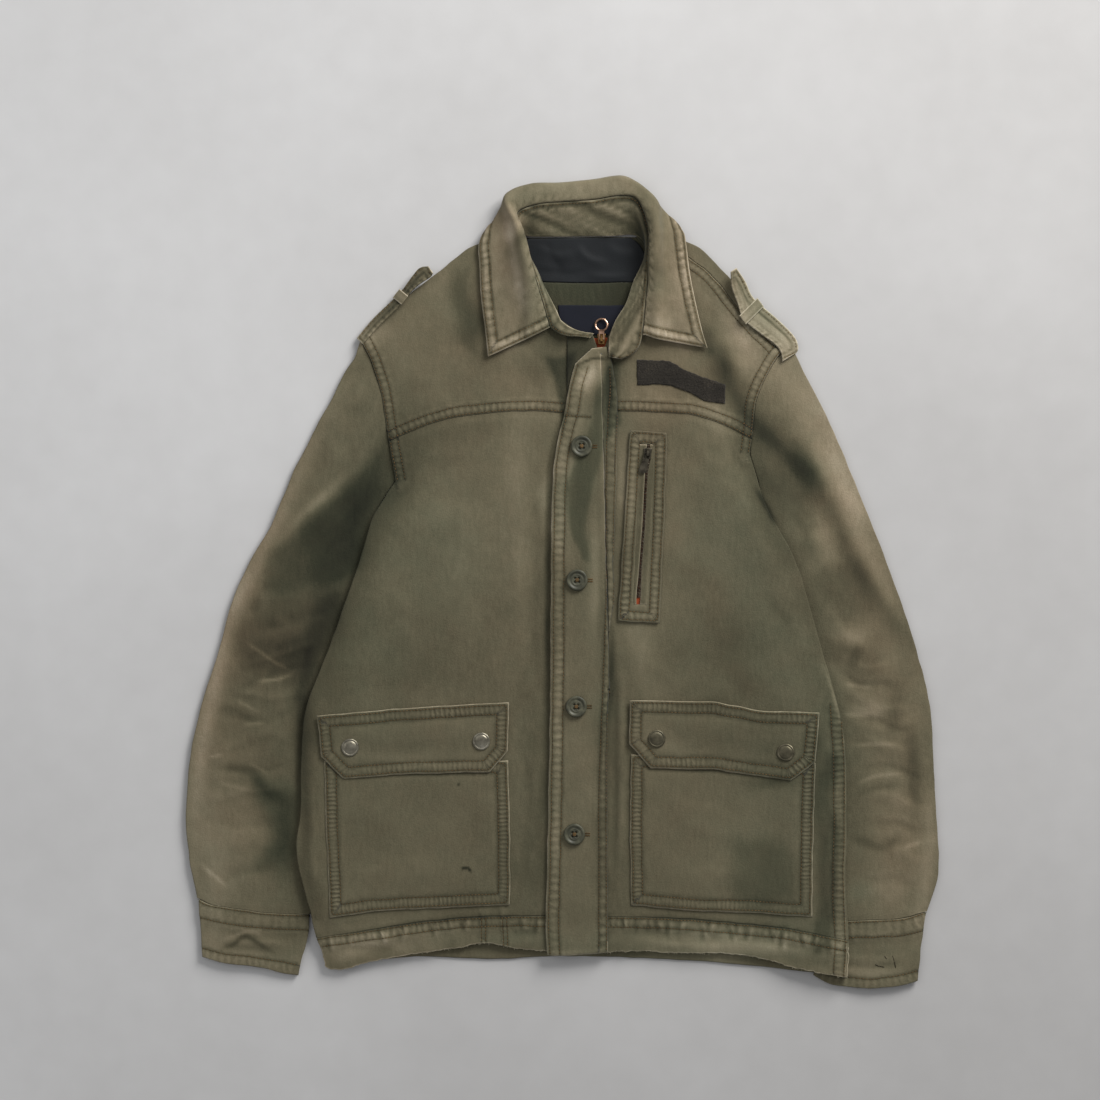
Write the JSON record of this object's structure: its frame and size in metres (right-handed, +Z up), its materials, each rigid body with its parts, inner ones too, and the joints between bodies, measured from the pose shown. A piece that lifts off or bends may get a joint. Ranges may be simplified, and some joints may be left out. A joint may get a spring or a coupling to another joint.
{
  "type": "field jacket",
  "caption": "Worn cotton twill field jacket laid flat, front up: stand collar with fall, epaulettes, buttoned placket, zip chest pocket and flapped patch pockets.",
  "frame": {"origin": "centre of the bounding box's underside, on the surface that the jacket lies on", "axes": "+Z up from the surface, +Y from the hem towards the collar, +X towards the wearer's left sleeve"},
  "size_m": [0.7536, 0.8118, 0.0291],
  "materials": {
    "twill": "heavy olive cotton twill, washed and faded, puckered seams",
    "twill_dark": "the same twill where it has not faded",
    "lining": "charcoal plain-weave lining",
    "label": "navy woven neck label, blank",
    "loop_tape": "dark brown loop tape, worn",
    "zip_tape": "orange-red woven zip tape",
    "button": "dark olive moulded four-hole button",
    "snap": "antique nickel snap cap",
    "zip_metal": "aged copper-coloured zip metal"
  },
  "bodies": {
    "jacket": {"back_hem_band": "twill", "back_lining": "lining", "back_panel": "twill", "button_1": "button", "button_2": "button", "button_3": "button", "button_4": "button", "button_stand": "twill_dark", "chest_zip_slider": "zip_metal", "chest_zip_tape": "zip_tape", "chest_zip_welt": "twill", "collar_fall": "twill", "collar_stand": "twill", "cuff_left_top": "twill", "cuff_left_under": "twill", "cuff_right_top": "twill", "cuff_right_under": "twill", "epaulette_keeper_left": "twill", "epaulette_keeper_right": "twill", "epaulette_left": "twill", "epaulette_right": "twill", "front_left": "twill", "front_right": "twill", "hem_band_left": "twill", "hem_band_right": "twill", "main_zip_slider": "zip_metal", "main_zip_tape": "zip_tape", "name_tape": "loop_tape", "neck_facing": "twill_dark", "neck_label": "label", "placket": "twill", "pocket_flap_left": "twill", "pocket_flap_right": "twill", "pocket_left": "twill", "pocket_right": "twill", "shoulder_left": "twill", "sleeve_left_top": "twill", "sleeve_left_under": "twill", "sleeve_right_top": "twill", "sleeve_right_under": "twill", "snap_1": "snap", "snap_2": "snap", "snap_3": "snap", "snap_4": "snap", "yoke_left": "twill", "yoke_right": "twill"},
    "chest_pull": {"chest_zip_pull": "zip_metal"},
    "zip_ring": {"main_zip_ring": "zip_metal"}
  },
  "joints": [
    {"name": "chest_pull_hinge", "type": "hinge", "parent": "jacket", "child": "chest_pull", "pos_m": [0.0851, 0.129, 0.01316], "axis": [-0.9563, 0.2924, 0], "range_deg": [0, 120]},
    {"name": "zip_ring_hinge", "type": "hinge", "parent": "jacket", "child": "zip_ring", "pos_m": [0.039, 0.2435, 0.0091], "axis": [1, 0, 0], "range_deg": [0, 110]}
  ]
}
